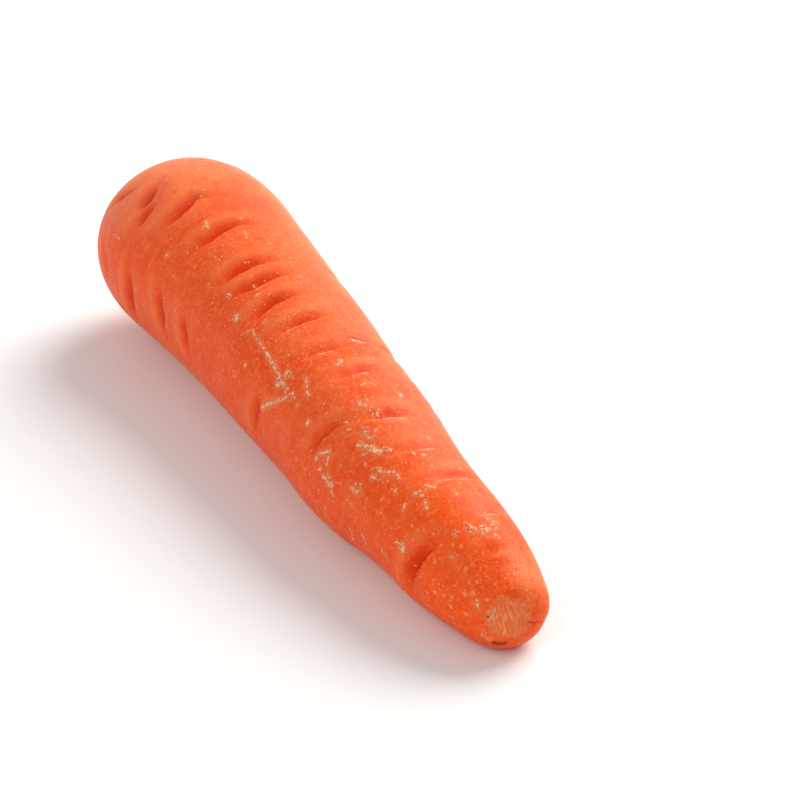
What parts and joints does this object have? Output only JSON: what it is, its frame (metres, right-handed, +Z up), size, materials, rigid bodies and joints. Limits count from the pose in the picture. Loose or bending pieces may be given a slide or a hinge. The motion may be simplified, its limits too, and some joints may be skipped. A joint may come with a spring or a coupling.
{
  "type": "carrot",
  "caption": "Topped carrot lying on its side: broad shoulder, dished crown with a leaf-stalk scar, creased tapering body and a blunt trimmed end.",
  "frame": {"origin": "on the surface that the carrot lies on, under the middle of its bounding box", "axes": "+X from the crown to the trimmed end, +Z up"},
  "size_m": [0.1638, 0.0426, 0.042],
  "materials": {
    "carrot_skin": "fresh orange root skin with a soft sheen, darker in its creases"
  },
  "bodies": {
    "root": {"carrot": "carrot_skin"}
  },
  "joints": []
}
